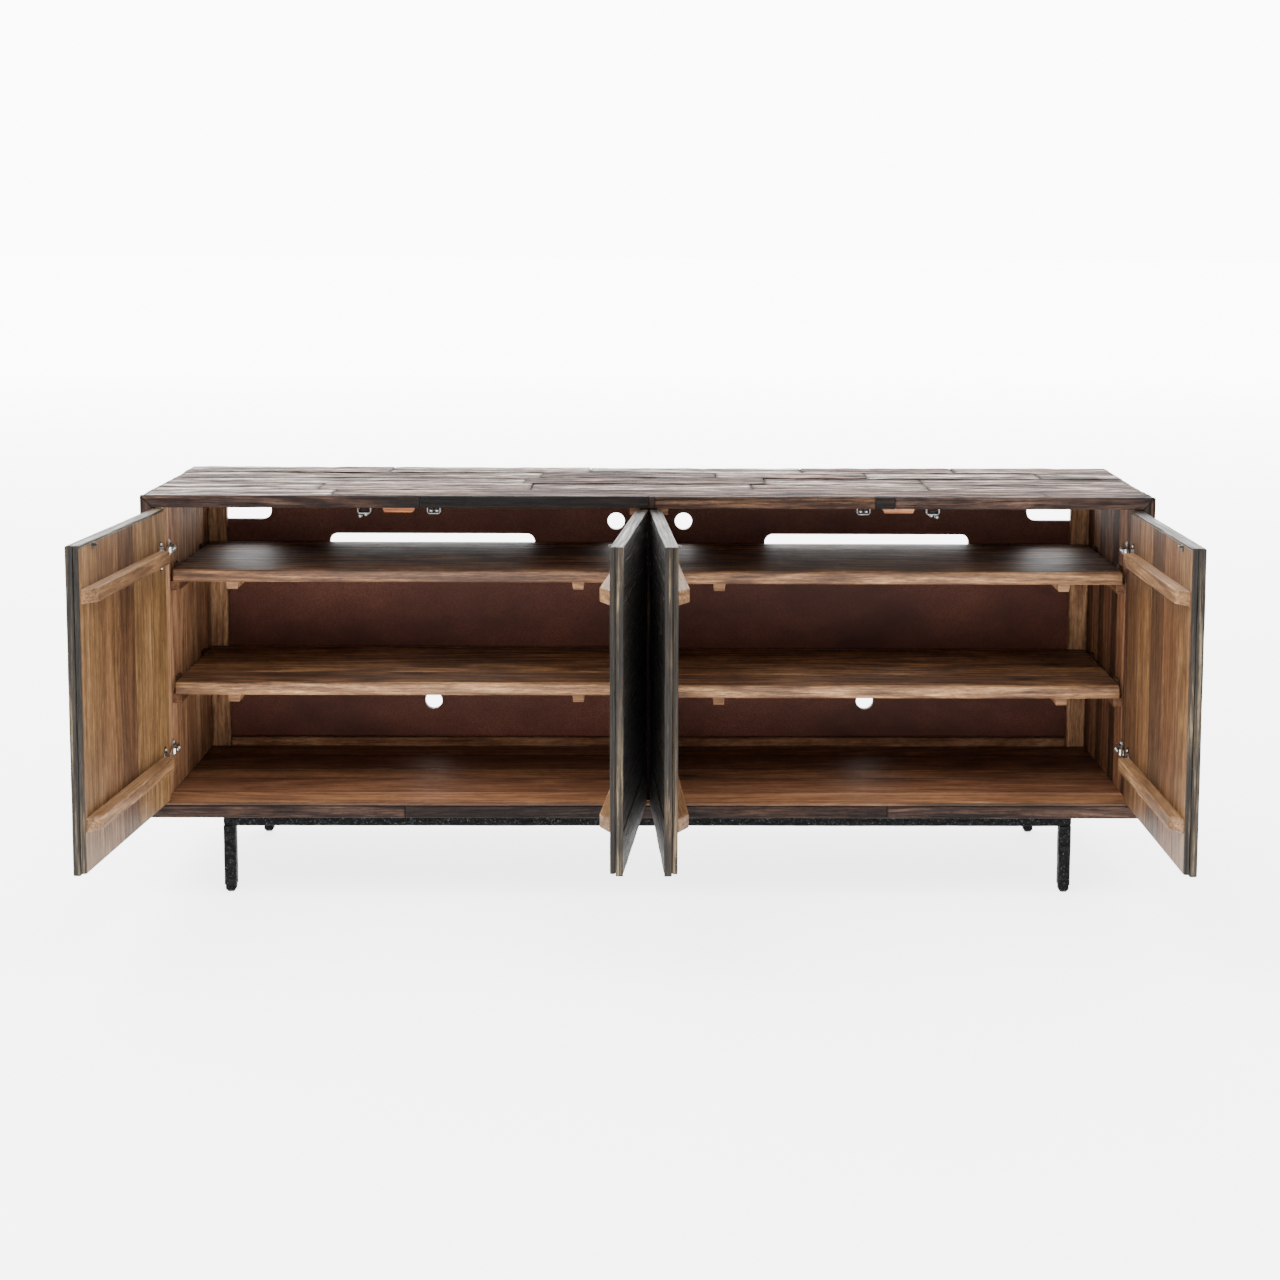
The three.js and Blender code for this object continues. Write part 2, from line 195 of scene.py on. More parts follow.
def plank(part, corner, along, across, up, size, tone=None, bevel=0.001, rough=0.0,
          wobble=0.0, pitch=0.06, lane=0.03, skew=(0.0, 0.0), all_round=False, fade=None, wear_and_shade_width=EDGE_WEAR_AND_SHADE):
    """Adds a board with eased edges in the edge colour: rubbed wear, and painted shade in the seams where
    that colour is dark. Its up face is uneven by rough, its sides by wobble.

    skew moves each end along the board by that share of the way across, as a mitre does.
    fade is the tone that the board drifts to over its last half.
    """
    length, width, thick = size
    tone = chance.random() if tone is None else tone
    fade = tone if fade is None else fade
    shift = scatter()
    bevel = min(bevel, 0.4 * width, 0.4 * thick, 0.4 * length)
    border = min(wear_and_shade_width, 0.2 * width, 0.2 * length)
    middles = steps(width - 2 * bevel, border, lane)
    lanes = [0.0, *middles, width - 2 * bevel]
    lanes = [(bevel + v, 1.0 if v in (lanes[0], lanes[-1]) else 0.0) for v in lanes]
    outline = [(v, 0.0, edge, "under") for v, edge in lanes]
    outline += [(width, bevel, 1.0, "side"), (width, thick - bevel, 1.0, "side")]
    outline += [(v, thick, edge, "up") for v, edge in reversed(lanes)]
    outline += [(0.0, thick - bevel, 1.0, "side"), (0.0, bevel, 1.0, "side")]
    inner = [bevel + u for u in steps(length - 2 * bevel, border, pitch)]
    stations = [0.0, bevel, *inner, length - bevel, length]
    rings = []
    for u in stations:
        at_end = u in (0.0, length)
        near_end = u <= bevel or u >= length - bevel
        ring = []
        for v, n, edge, face in outline:
            if at_end:
                v = width / 2 + (v - width / 2) * (width - 2 * bevel) / width
                n = thick / 2 + (n - thick / 2) * (thick - 2 * bevel) / thick
            here = shift + Vector((u, v, n))
            if rough and not at_end and (face == "up" or all_round):
                n += rough * noise.noise(here * 26) * (1 if face == "up" else 0.6)
                n += rough * 0.5 * noise.noise(Vector((here.x * 14, here.y * 160, 0)))
            if wobble and not at_end and (face == "side" or all_round):
                v += wobble * noise.noise(Vector((here.x * 22, round(v * 1000), 3.3)))
            share = u / length
            lean = v * (skew[0] * (1 - share) + skew[1] * share)
            place = corner + along * (u + lean) + across * v + up * n
            shown = tone + (fade - tone) * max(0.0, 2 * share - 1)
            ring.append(part.point(place, shift + Vector((u, v, n)), shown,
                                   1.0 if near_end else edge))
        rings.append(ring)
    part.bridge(rings)


def prism(part, outline, origin, first, second, depth, tone=0.5, bevel=0.0008):
    """Adds an outline of (first, second) distances, drawn out along depth with eased rims."""
    shift = scatter()
    centre = [sum(p[i] for p in outline) / len(outline) for i in (0, 1)]
    reach = max(0.001, min(max(abs(p[i] - centre[i]) for p in outline) for i in (0, 1)))
    direction = depth.normalized()
    rings = []
    for distance, inset in ((0, bevel), (bevel, 0), (depth.length - bevel, 0), (depth.length, bevel)):
        share = 1 - inset / reach
        ring = []
        for p in outline:
            a = centre[0] + (p[0] - centre[0]) * share
            b = centre[1] + (p[1] - centre[1]) * share
            place = origin + first * a + second * b + direction * distance
            ring.append(part.point(place, shift + Vector((a, b, distance)), tone,
                                   1.0 if inset else 0.3))
        rings.append(ring)
    part.bridge(rings)


def turned(part, origin, axis, profile, sides=20):
    """Adds a solid of revolution from (height, radius) points, closed at both ends."""
    axis = axis.normalized()
    first = axis.orthogonal().normalized()
    second = axis.cross(first)
    rings = []
    for height, radius in profile:
        ring = []
        for i in range(sides):
            angle = 2 * math.pi * i / sides
            spoke = first * math.cos(angle) + second * math.sin(angle)
            place = origin + axis * height + spoke * radius
            ring.append(part.point(place, Vector((height, radius, angle / 50))))
        rings.append(ring)
    part.bridge(rings)


def rounded_outline(width, height, radius, corner_steps=4):
    """A rounded rectangle about the middle, as (first, second) points."""
    points = []
    for quarter, (sx, sy) in enumerate(((1, 1), (-1, 1), (-1, -1), (1, -1))):
        for i in range(corner_steps + 1):
            angle = math.pi / 2 * (quarter + i / corner_steps)
            points.append((
                sx * (width / 2 - radius) + radius * math.cos(angle),
                sy * (height / 2 - radius) + radius * math.sin(angle),
            ))
    return points


def screw(part, origin, out, radius=0.0033):
    """A pan-head screw with a cross recess drawn as a sunk dimple."""
    turned(part, origin, out, [
        (-0.001, radius), (0.0008, radius), (0.0016, radius * 0.82), (0.002, radius * 0.5),
        (0.0013, radius * 0.34), (0.0012, radius * 0.05),
    ], sides=16)


# ---- Shader building ----
def shade(red, green, blue):
    """A colour given as 0-255 display values, as the linear colour a shader takes."""
    def linear(value):
        value /= 255
        return value / 12.92 if value <= 0.04045 else ((value + 0.055) / 1.055) ** 2.4
    return (linear(red), linear(green), linear(blue), 1.0)


def stops(*rows):
    """Colour stops for a ramp, from rows of position, red, green and blue."""
    return [(position, shade(*colour)) for position, *colour in rows]


def darker(colour, share):
    return (*(value * share for value in colour[:3]), 1.0)


class Shader:
    """Adds and wires the nodes of one material."""

    def __init__(self, name, coords="grain"):
        self.material = bpy.data.materials.new(name)
        self.material.use_nodes = True
        self.tree = self.material.node_tree
        self.surface = self.tree.nodes["Principled BSDF"]
        if coords == "grain":
            self.coords = self.attribute("grain", "Vector")
        else:
            self.coords = self.node("ShaderNodeTexCoord").outputs["Object"]

    def node(self, kind, inputs=None, **settings):
        made = self.tree.nodes.new(kind)
        for key, value in settings.items():
            setattr(made, key, value)
        for key, value in (inputs or {}).items():
            self.feed(made.inputs[key], value)
        return made

    def feed(self, socket, value):
        if isinstance(value, bpy.types.NodeSocket):
            self.tree.links.new(value, socket)
        else:
            socket.default_value = value

    def attribute(self, name, output):
        return self.node("ShaderNodeAttribute", attribute_name=name).outputs[output]

    def scaled(self, vector, scale):
        inputs = {0: vector, 1: scale}
        return self.node("ShaderNodeVectorMath", inputs, operation="MULTIPLY").outputs[0]

    def noise(self, vector, scale, detail=3.0, roughness=0.55):
        inputs = {"Vector": self.scaled(vector, scale), "Scale": 1.0, "Detail": detail,
                  "Roughness": roughness}
        return self.node("ShaderNodeTexNoise", inputs).outputs["Fac"]

    def math(self, operation, first, second=0.5):
        inputs = {0: first, 1: second}
        return self.node("ShaderNodeMath", inputs, operation=operation).outputs[0]

    def times(self, first, second):
        return self.math("MULTIPLY", first, second)

    def plus(self, first, second):
        return self.math("ADD", first, second)

    def spread(self, value, low_in, high_in, low_out=0.0, high_out=1.0):
        inputs = {"Value": value, "From Min": low_in, "From Max": high_in,
                  "To Min": low_out, "To Max": high_out}
        return self.node("ShaderNodeMapRange", inputs).outputs["Result"]

    def ramp(self, value, colours):
        made = self.node("ShaderNodeValToRGB", {"Fac": value})
        stops = made.color_ramp.elements
        while len(stops) < len(colours):
            stops.new(0.5)
        for i, (position, colour) in enumerate(colours):
            stops[i].position = position
            stops[i].color = colour
        return made.outputs["Color"]

    def mix(self, share, first, second, blend="MIX"):
        made = self.node("ShaderNodeMix", data_type="RGBA", blend_type=blend)
        self.feed(made.inputs[0], share)
        self.feed(made.inputs[6], first)
        self.feed(made.inputs[7], second)
        return made.outputs[2]

    def bump(self, height, distance, strength=1.0):
        inputs = {"Height": height, "Distance": distance, "Strength": strength}
        self.feed(self.surface.inputs["Normal"], self.node("ShaderNodeBump", inputs).outputs[0])

    def set(self, name, value):
        self.feed(self.surface.inputs[name], value)


def wood(name, colours, tones, edge_colour, edge_share=0.5, roughness=(0.45, 0.7), relief=0.0005,
         cracks=0.0, stains=0.0, knots=0.25, contrast=(0.3, 0.72), fibre_scale=(8, 260),
         weather=0.0, gloss=0.25, fine=0.3, coords="grain"):
    """Sawn wood: growth rings, fibres, pores and knots, a tone for each board, and edges in the edge
    colour: rubbed wear, and painted shade in the seams where that colour is dark.
    """
    sh = Shader(name, coords)
    deepest = colours[0][1]
    drift = sh.node("ShaderNodeTexNoise", {"Vector": sh.scaled(sh.coords, (1.6, 7, 7)), "Scale": 1.0,
                                           "Detail": 2.0}).outputs["Color"]
    bent = sh.node("ShaderNodeVectorMath", {0: drift, 1: (0.02, 0.02, 0.02), 2: sh.coords},
                   operation="MULTIPLY_ADD").outputs[0]
    growth = sh.math("SINE", sh.times(sh.noise(bent, (0.7, 8, 8), 1.5), RINGS))
    growth = sh.spread(growth, -1, 1)
    fibre = sh.noise(bent, (*fibre_scale, fibre_scale[1]), 5.0, 0.65)
    blotch = sh.noise(sh.coords, (2.2, 8, 8), 3.0)
    pores = sh.spread(sh.noise(sh.coords, (42, 900, 900), 2.0), 0.56, 0.7)
    grain = sh.plus(sh.times(fibre, 0.62), sh.times(blotch, 0.26))
    grain = sh.plus(grain, sh.times(growth, 0.12))
    colour = sh.ramp(sh.spread(grain, *contrast), colours)
    colour = sh.mix(1.0, colour, sh.ramp(sh.attribute("tone", "Fac"), tones), "MULTIPLY")
    colour = sh.mix(sh.times(pores, 0.45), colour, deepest)
    flecks = sh.spread(sh.noise(sh.coords, (46, 430, 430), 4.0, 0.7), 0.34, 0.66, 1 - fine, 1 + fine)
    flecks = sh.node("ShaderNodeCombineColor", {0: flecks, 1: flecks, 2: flecks}).outputs[0]
    colour = sh.mix(1.0, colour, flecks, "MULTIPLY")
    height = sh.math("SUBTRACT", fibre, sh.times(pores, 0.5))
    if knots:
        cell = sh.node("ShaderNodeTexVoronoi", {"Vector": sh.scaled(bent, (3.1, 9, 9)), "Scale": 1.0})
        chosen = sh.spread(cell.outputs["Color"], 0.62, 0.66)
        spot = sh.spread(cell.outputs["Distance"], 0.11, 0.05)
        halo = sh.spread(cell.outputs["Distance"], 0.34, 0.1)
        halo = sh.times(sh.times(halo, chosen), knots)
        spot = sh.times(sh.times(spot, chosen), min(1.0, knots * 3))
        colour = sh.mix(halo, colour, deepest)
        colour = sh.mix(spot, colour, darker(deepest, 0.35))
    if stains:
        stain = sh.spread(sh.noise(sh.coords, (3.5, 16, 16), 5.0, 0.7), 0.5, 0.68)
        colour = sh.mix(sh.times(stain, stains), colour, deepest)
    if weather:
        patch = sh.spread(sh.noise(sh.coords, (22, 52, 52), 5.0, 0.75), 0.36, 0.64)
        dull = sh.mix(1.0, colour, WEATHER_DARK, "MULTIPLY")
        colour = sh.mix(sh.times(patch, weather), colour, dull)
    if cracks:
        split = sh.spread(sh.noise(bent, (2.4, 62, 62), 4.0, 0.65), 0.56, 0.63)
        colour = sh.mix(sh.times(split, cracks), colour, darker(deepest, 0.3))
        height = sh.math("SUBTRACT", height, sh.times(split, 1.6))
        saw = sh.noise(sh.coords, (420, 7, 7), 2.0)
        height = sh.plus(height, sh.times(saw, 0.5))
        colour = sh.mix(0.35, colour, sh.mix(saw, colour, sh.mix(0.5, colour, deepest)))
    # Board edges take edge_colour: rubbed wear, and where that colour is dark, painted shade in the seams
    # between boards.
    edge_wear_and_shade = sh.times(sh.attribute("edge", "Fac"), sh.spread(blotch, 0.3, 0.6, 0.4, 1.0))
    colour = sh.mix(sh.times(edge_wear_and_shade, edge_share), colour, edge_colour)
    sh.set("Base Color", colour)
    sh.set("Roughness", sh.spread(fibre, 0.3, 0.7, roughness[1], roughness[0]))
    sh.set("Specular IOR Level", gloss)
    sh.bump(height, relief)
    return sh.material


def metal(name, light, dark, roughness=(0.25, 0.4), coords="grain"):
    """Plated sheet metal with faint drawing lines and dulled patches."""
    sh = Shader(name, coords)
    lines = sh.noise(sh.coords, (120, 120, 900))
    patches = sh.noise(sh.coords, (60, 60, 60))
    sh.set("Base Color", sh.mix(sh.spread(patches, 0.35, 0.7), light, dark))
    sh.set("Metallic", 1.0)
    sh.set("Roughness", sh.spread(lines, 0.3, 0.7, roughness[0], roughness[1]))
    sh.bump(lines, 0.00004)
    return sh.material


def hammered_iron(name):
    """Black lacquered iron with shallow hammer marks, rubbed bright in places."""
    sh = Shader(name)
    marks = sh.node("ShaderNodeTexVoronoi", {
        "Vector": sh.coords, "Scale": 95.0, "Smoothness": 0.6,
    }, feature="SMOOTH_F1").outputs["Distance"]
    rub = sh.spread(sh.noise(sh.coords, (330, 330, 330), 3.0, 0.7), 0.6, 0.68)
    colour = sh.mix(sh.spread(marks, 0.0, 0.6), IRON_HIGH, IRON_LOW)
    sh.set("Base Color", sh.mix(sh.times(rub, 0.6), colour, IRON_RUBBED))
    sh.set("Metallic", 0.0)
    sh.set("Specular IOR Level", sh.spread(rub, 0.0, 1.0, 0.04, 0.3))
    sh.set("Roughness", sh.spread(rub, 0.0, 1.0, 0.6, 0.4))
    sh.bump(sh.times(marks, -1.0), 0.004, 0.8)
    return sh.material


def hardboard(name):
    """The back of the case: smooth brown board with a fine felted texture and cloudy patches; its outer
    face is darker and cooler, as painted shade.
    """
    sh = Shader(name, "object")
    clouds = sh.noise(sh.coords, (3.0, 3.0, 5.0), 4.0)
    felt = sh.noise(sh.coords, (420, 420, 420))
    colour = sh.ramp(sh.spread(clouds, 0.3, 0.7), BACK_COLOURS)
    colour = sh.mix(sh.spread(felt, 0.4, 0.6, 0.0, 0.6), colour, BACK_COLOURS[0][1])
    depth = sh.node("ShaderNodeSeparateXYZ", {0: sh.coords}).outputs["Y"]
    rear = high("back_panel_left").y
    # The outer face is multiplied darker: painted shade against the bright surround behind.
    outside_shade = sh.spread(depth, rear - 0.003, rear - 0.001)
    sh.set("Base Color", sh.mix(outside_shade, colour, sh.mix(1.0, colour, BACK_OUTSIDE_SHADE, "MULTIPLY")))
    sh.set("Specular IOR Level", 0.2)
    sh.set("Roughness", sh.spread(felt, 0.3, 0.7, 0.5, 0.65))
    sh.bump(felt, 0.0001)
    return sh.material


# ---- Colours, as display values ----
RINGS = 80.0  # how closely the growth rings lie
WEATHER_DARK = shade(140, 128, 122)
IRON_LOW = shade(8, 8, 9)
IRON_HIGH = shade(20, 20, 21)
IRON_RUBBED = shade(70, 70, 72)
BACK_COLOURS = stops((0.0, 70, 38, 30), (0.5, 100, 58, 45), (1.0, 122, 74, 58))
# Multiplied onto the back's outer face as painted shade.
BACK_OUTSIDE_SHADE = shade(150, 158, 158)
PLAIN_TONES = stops((0.0, 215, 210, 205), (0.5, 235, 232, 228), (1.0, 255, 255, 255))
SHELF_TONES = stops((0.0, 152, 138, 132), (0.5, 210, 190, 170), (1.0, 255, 240, 210))

# The near-black edge colour at full share is painted shade in the gaps between the top's boards, with
# some rubbed wear.
TOP_WOOD = wood(
    "weathered_top_wood",
    stops((0.0, 34, 24, 21), (0.35, 112, 95, 88), (0.65, 190, 178, 171), (1.0, 255, 255, 255)),
    stops((0.0, 160, 130, 118), (0.3, 206, 184, 172), (0.7, 238, 230, 224), (1.0, 255, 252, 248)),
    shade(30, 18, 15), edge_share=1.0, roughness=(0.6, 0.9), relief=0.0018, cracks=0.95,
    stains=0.75, knots=0.12, contrast=(0.4, 0.62), fibre_scale=(5, 85), weather=0.9,
    gloss=0.08, fine=0.4,
)
DARK_WOOD = wood(
    "weathered_dark_wood",
    stops((0.0, 14, 11, 10), (0.4, 58, 45, 40), (0.75, 101, 85, 72), (1.0, 154, 136, 120)),
    stops((0.0, 84, 78, 78), (0.35, 166, 142, 134), (0.55, 206, 186, 180), (0.66, 222, 208, 208),
          (0.9, 246, 216, 188), (1.0, 255, 226, 196)),
    shade(30, 21, 18), edge_share=0.4, roughness=(0.5, 0.8), relief=0.0012, cracks=0.8,
    stains=0.4, knots=0.12, contrast=(0.3, 0.74), fibre_scale=(9, 210), weather=0.5,
    gloss=0.12,
)
DOOR_WOOD = wood(
    "charcoal_door_wood",
    stops((0.0, 10, 8, 7), (0.4, 27, 23, 20), (0.75, 48, 42, 36), (1.0, 86, 76, 64)),
    stops((0.0, 150, 140, 132), (0.5, 205, 192, 178), (1.0, 255, 242, 222)),
    shade(60, 53, 44), edge_share=0.3, roughness=(0.5, 0.8), relief=0.0012, cracks=0.8,
    stains=0.4, knots=0.1, fibre_scale=(9, 210), weather=0.5,
)
DOOR_EDGE = wood(
    "door_edge_wood",
    stops((0.0, 10, 8, 7), (0.4, 36, 31, 24), (0.75, 70, 61, 49), (1.0, 126, 115, 96)),
    stops((0.0, 180, 158, 130), (0.5, 212, 204, 188), (1.0, 255, 248, 234)),
    shade(28, 24, 18), edge_share=0.6, roughness=(0.4, 0.7), relief=0.0008, cracks=0.8,
    stains=0.4, knots=0.0, contrast=(0.38, 0.62), fibre_scale=(7, 260), weather=0.5,
    gloss=0.2,
)
INNER_WOOD = wood(
    "door_inner_wood",
    stops((0.0, 61, 41, 26), (0.4, 101, 79, 56), (0.7, 124, 100, 75), (1.0, 148, 124, 99)),
    stops((0.0, 142, 128, 122), (0.3, 208, 182, 162), (0.6, 236, 220, 194), (1.0, 255, 244, 206)),
    shade(40, 26, 16), edge_share=0.7, roughness=(0.4, 0.6), relief=0.0003, knots=0.5,
    contrast=(0.3, 0.7), fibre_scale=(9, 190), weather=0.42, gloss=0.2, fine=0.42,
)
LINING_WOOD = wood(
    "lining_wood",
    stops((0.0, 89, 63, 52), (0.4, 157, 123, 101), (0.7, 191, 156, 130), (1.0, 218, 185, 158)),
    stops((0.0, 100, 88, 81), (0.35, 172, 150, 132), (0.7, 228, 212, 190), (1.0, 255, 244, 220)),
    shade(44, 28, 18), edge_share=0.6, roughness=(0.55, 0.75), relief=0.0003, knots=0.5,
    contrast=(0.28, 0.72), fibre_scale=(9, 190), weather=0.3, gloss=0.1,
)
SHELF_WOOD = wood(
    "shelf_wood",
    stops((0.0, 57, 39, 29), (0.4, 112, 85, 64), (0.7, 153, 121, 92), (1.0, 198, 164, 128)),
    SHELF_TONES, shade(80, 54, 35), edge_share=0.3, roughness=(0.5, 0.64), relief=0.0002, knots=0.6,
    contrast=(0.36, 0.64), fibre_scale=(10, 210), weather=0.42, gloss=0.32, fine=0.5,
)
# Its near-black edge colour at high share is painted shade: the shadow gap along the front of the floor
# boards.
FLOOR_WOOD = wood(
    "floor_wood",
    stops((0.0, 68, 45, 34), (0.4, 114, 84, 67), (0.7, 146, 112, 90), (1.0, 174, 138, 113)),
    SHELF_TONES, shade(16, 10, 7), edge_share=0.9, roughness=(0.5, 0.66), relief=0.0002, knots=0.5,
    contrast=(0.26, 0.74), fibre_scale=(10, 210), weather=0.3, gloss=0.2,
)
# Near-black wood with almost no gloss: painted shade on the divider's front, in the gap between the
# centre doors.
GAP_SHADE_WOOD = wood(
    "divider_edge_painted_shade",
    stops((0.0, 6, 4, 3), (0.5, 18, 12, 9), (1.0, 40, 28, 20)),
    PLAIN_TONES, shade(12, 8, 6), roughness=(0.8, 0.95), knots=0.0, gloss=0.02,
)
PALE_WOOD = wood(
    "pale_wood",
    stops((0.0, 74, 50, 31), (0.4, 107, 79, 52), (0.7, 130, 98, 68), (1.0, 155, 120, 87)),
    PLAIN_TONES, shade(130, 98, 68), edge_share=0.5, roughness=(0.45, 0.65), relief=0.0002,
    knots=0.5, contrast=(0.36, 0.66), fibre_scale=(9, 220), weather=0.42, gloss=0.2, fine=0.4,
)
BLOCK_WOOD = wood(
    "stop_block_wood",
    stops((0.0, 120, 66, 38), (0.4, 166, 102, 60), (0.7, 188, 124, 78), (1.0, 208, 150, 104)),
    PLAIN_TONES, shade(200, 150, 108), edge_share=0.3, relief=0.0002, knots=0.0,
    contrast=(0.36, 0.64), fibre_scale=(8, 200), coords="object",
)
IRON = hammered_iron("hammered_iron_lacquer")
NICKEL = metal("nickel_plate", shade(214, 212, 206), shade(150, 148, 144))
CATCH_METAL = metal("zinc_plate", shade(128, 129, 128), shade(70, 70, 70), (0.35, 0.5),
                    coords="object")
CATCH_PLATE = metal("zinc_plate_grained", shade(92, 92, 90), shade(44, 43, 42), (0.35, 0.5))
BLACK_PLATE = metal("black_nickel_plate", shade(46, 44, 42), shade(24, 23, 22), (0.3, 0.45))
BACK_BOARD = hardboard("back_hardboard")


# ---- Case ----
def make_front_strips(name, z, inward, pieces, margin, wobble):
    """Strips along a front edge of the case, each a (start, end, tone, end tone) of the run."""
    part = Part(name, DARK_WOOD)
    for x0, x1, tone, fade in pieces:
        skew = (1.0 if x0 == -HALF else 0.0, -1.0 if x1 == HALF else 0.0)
        corner = Vector((MIDDLE + x0 + margin, BOARDS_FRONT, z))
        plank(part, corner, X, inward, -Y, (x1 - x0 - 2 * margin, SHELL, BAND), tone=tone,
              fade=fade, wobble=wobble, skew=skew, **STRIP_LOOKS)
    part.place("root", "weathered_dark")


def make_top():
    """Five rows of worn boards on a mitred core, with strips along the front edge."""
    part = Part("top_boards", TOP_WOOD)
    rows = [
        (0.0, 0.098, (-0.63, 0.79)),
        (0.098, 0.205, (-0.67, -0.24, 0.21, 0.57)),
        (0.205, 0.300, (-0.26, 0.24, 0.57)),
        (0.300, 0.392, (-0.23, 0.14, 0.46, 0.83)),
        (0.392, 0.488, (-0.56, -0.13, 0.33, 0.66)),
    ]
    reach = (CASE_REAR - BOARDS_FRONT) / rows[-1][1]
    for start, end, joints in rows:
        y0, y1 = BOARDS_FRONT + start * reach, BOARDS_FRONT + end * reach
        places = [CASE_LEFT, *(MIDDLE + x for x in joints), CASE_RIGHT]
        for first, second in zip(places, places[1:]):
            x0, x1 = first + SEAM, second - SEAM
            sink = chance.uniform(0.0, 0.0034)
            slack = chance.uniform(0.0006, 0.0017)
            plank(part, Vector((x0, y0 + slack, CASE_TOP - VENEER)), X, Y, Z,
                  (x1 - x0, y1 - y0 - 2 * slack, VENEER - sink), bevel=0.0016, rough=0.0012,
                  wobble=0.0018, pitch=0.016, lane=0.008, wear_and_shade_width=0.007)
    part.place("root", "weathered_top", ["top_panel"])

    core = Part("top_core", DARK_WOOD)
    deep = SHELL - VENEER
    outline = [(-HALF + SHELL, 0), (HALF - SHELL, 0), (HALF - VENEER, deep), (-HALF + VENEER, deep)]
    prism(core, outline, Vector((MIDDLE, BOARDS_FRONT, CASE_TOP - SHELL)), X, Z,
          Y * (CASE_REAR - BOARDS_FRONT))
    core.place("root", "weathered_top")

    pieces = [(-HALF, -0.452, 0.6, 0.02), (-0.452, 0.0, 0.0, 0.0), (0.0, 0.012, 0.25, 0.25),
              (0.012, 0.448, 1.0, 0.9), (0.448, 0.487, 0.02, 0.1), (0.487, HALF, 0.64, 0.62)]
    make_front_strips("top_front_strips", CASE_TOP, -Z, pieces, SEAM / 2, 0.0006)


def make_bottom():
    """The bottom board: a mitred core, with strips along the front edge."""
    foot = HALF - 0.0005
    core = Part("bottom_boards", DARK_WOOD)
    outline = [(-foot, 0), (foot, 0), (HALF - SHELL, SHELL), (-HALF + SHELL, SHELL)]
    prism(core, outline, Vector((MIDDLE, BOARDS_FRONT, CASE_BOTTOM)), X, Z,
          Y * (CASE_REAR - BOARDS_FRONT), tone=0.4)
    core.place("root", "weathered_dark", ["bottom_panel"])
    pieces = [(-HALF, -0.487, 0.46, 0.46), (-0.487, 0.022, 0.12, 0.12), (0.022, 0.48, 0.34, 0.34),
              (0.48, HALF, 0.46, 0.46)]
    make_front_strips("bottom_front_strips", CASE_BOTTOM, Z, pieces, SEAM, 0.0005)


def make_side(side, sign):
    """An end of the case: upright worn boards on a mitred core, with a strip in front."""
    node = f"side_panel_{side}"
    outer = CASE_RIGHT if sign > 0 else CASE_LEFT
    tall = CASE_TOP - CASE_BOTTOM
    part = Part(f"side_boards_{side}", DARK_WOOD)
    y = BOARDS_FRONT
    widths = [0.062, 0.085, 0.07, 0.098, 0.066, 0.078]
    reach = (CASE_REAR - y) / sum(widths)
    for width in widths:
        width *= reach
        sink = chance.uniform(0.0, 0.0018)
        height = tall - VENEER * 0.3
        plank(part, Vector((outer - sign * VENEER, y + SEAM, CASE_BOTTOM + 0.0004)), Z, Y, X * sign,
              (height, width - 2 * SEAM, VENEER - sink), bevel=0.0012, rough=0.0008,
              wobble=0.0009, pitch=0.02, lane=0.01)
        y += width
    part.place("root", "weathered_dark", [node])

    core = Part(f"side_core_{side}", DARK_WOOD)
    outline = [(VENEER, VENEER), (SHELL, SHELL), (SHELL, tall - SHELL), (VENEER, tall - VENEER)]
    prism(core, outline, Vector((outer, BOARDS_FRONT, CASE_BOTTOM)), X * -sign, Z,
          Y * (CASE_REAR - BOARDS_FRONT), bevel=0.0006)
    core.place("root", "weathered_dark")

    edging = Part(f"side_front_strip_{side}", DARK_WOOD)
    plank(edging, Vector((outer, BOARDS_FRONT, CASE_BOTTOM + 0.0004)), Z, X * -sign, -Y,
          (tall - 0.001, SHELL, BAND), tone=0.55, wobble=0.0006, skew=(1.0, -1.0), **STRIP_LOOKS)
    edging.place("root", "weathered_dark")


def fill_boards(part, lowest, highest, along, across, up, widths, tones, bevel=0.0005, **looks):
    """Fills a box with boards that run along one axis and lie next to each other across another."""
    size = highest - lowest
    reach = size.dot(across) / sum(widths)
    at = 0.0
    for width, tone in zip(widths, tones):
        board = (size.dot(along), width * reach - 2 * SEAM, size.dot(up))
        plank(part, lowest + across * at, along, across, up, board, tone=tone, bevel=bevel, **looks)
        at += width * reach


def clad(node, name, axes, widths, tones, material=LINING_WOOD, slot="natural_wood", **looks):
    """Makes one CAD node's box out of boards. axes are the directions along, across and up."""
    part = Part(name, material)
    fill_boards(part, *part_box(node), *axes, widths, tones, pitch=0.1, **looks)
    part.place("root", slot, [node])


def make_linings():
    """The floor of both bays, the upright boards at the ends, the divider and the rear framing."""
    clad("floor_lining", "floor_boards", (X, Y, Z), [0.9, 1.1, 0.8, 1.2, 0.95],
         [0.9, 0.5, 0.75, 0.35, 0.6], FLOOR_WOOD, "shelf_wood", bevel=0.0006, rough=0.0001)
    widths = [0.8, 1.0, 0.7, 1.1, 0.6, 0.9, 0.75]
    tones = {"left": [1.0, 0.7, 0.9, 0.75, 1.0, 0.85, 0.7],
             "right": [0.0, 0.4, 0.0, 0.25, 0.1, 0.5, 0.2]}
    for side in SIDES:
        clad(f"side_lining_{side}", f"side_lining_boards_{side}", (Z, Y, X), widths, tones[side])
        clad(f"back_stile_{side}", f"back_stile_board_{side}", (Z, X, Y), [1.0], [0.9], bevel=0.001)
    clad("back_rail", "back_rail_board", (X, Z, Y), [1.0], [0.55], bevel=0.001)
    make_divider()


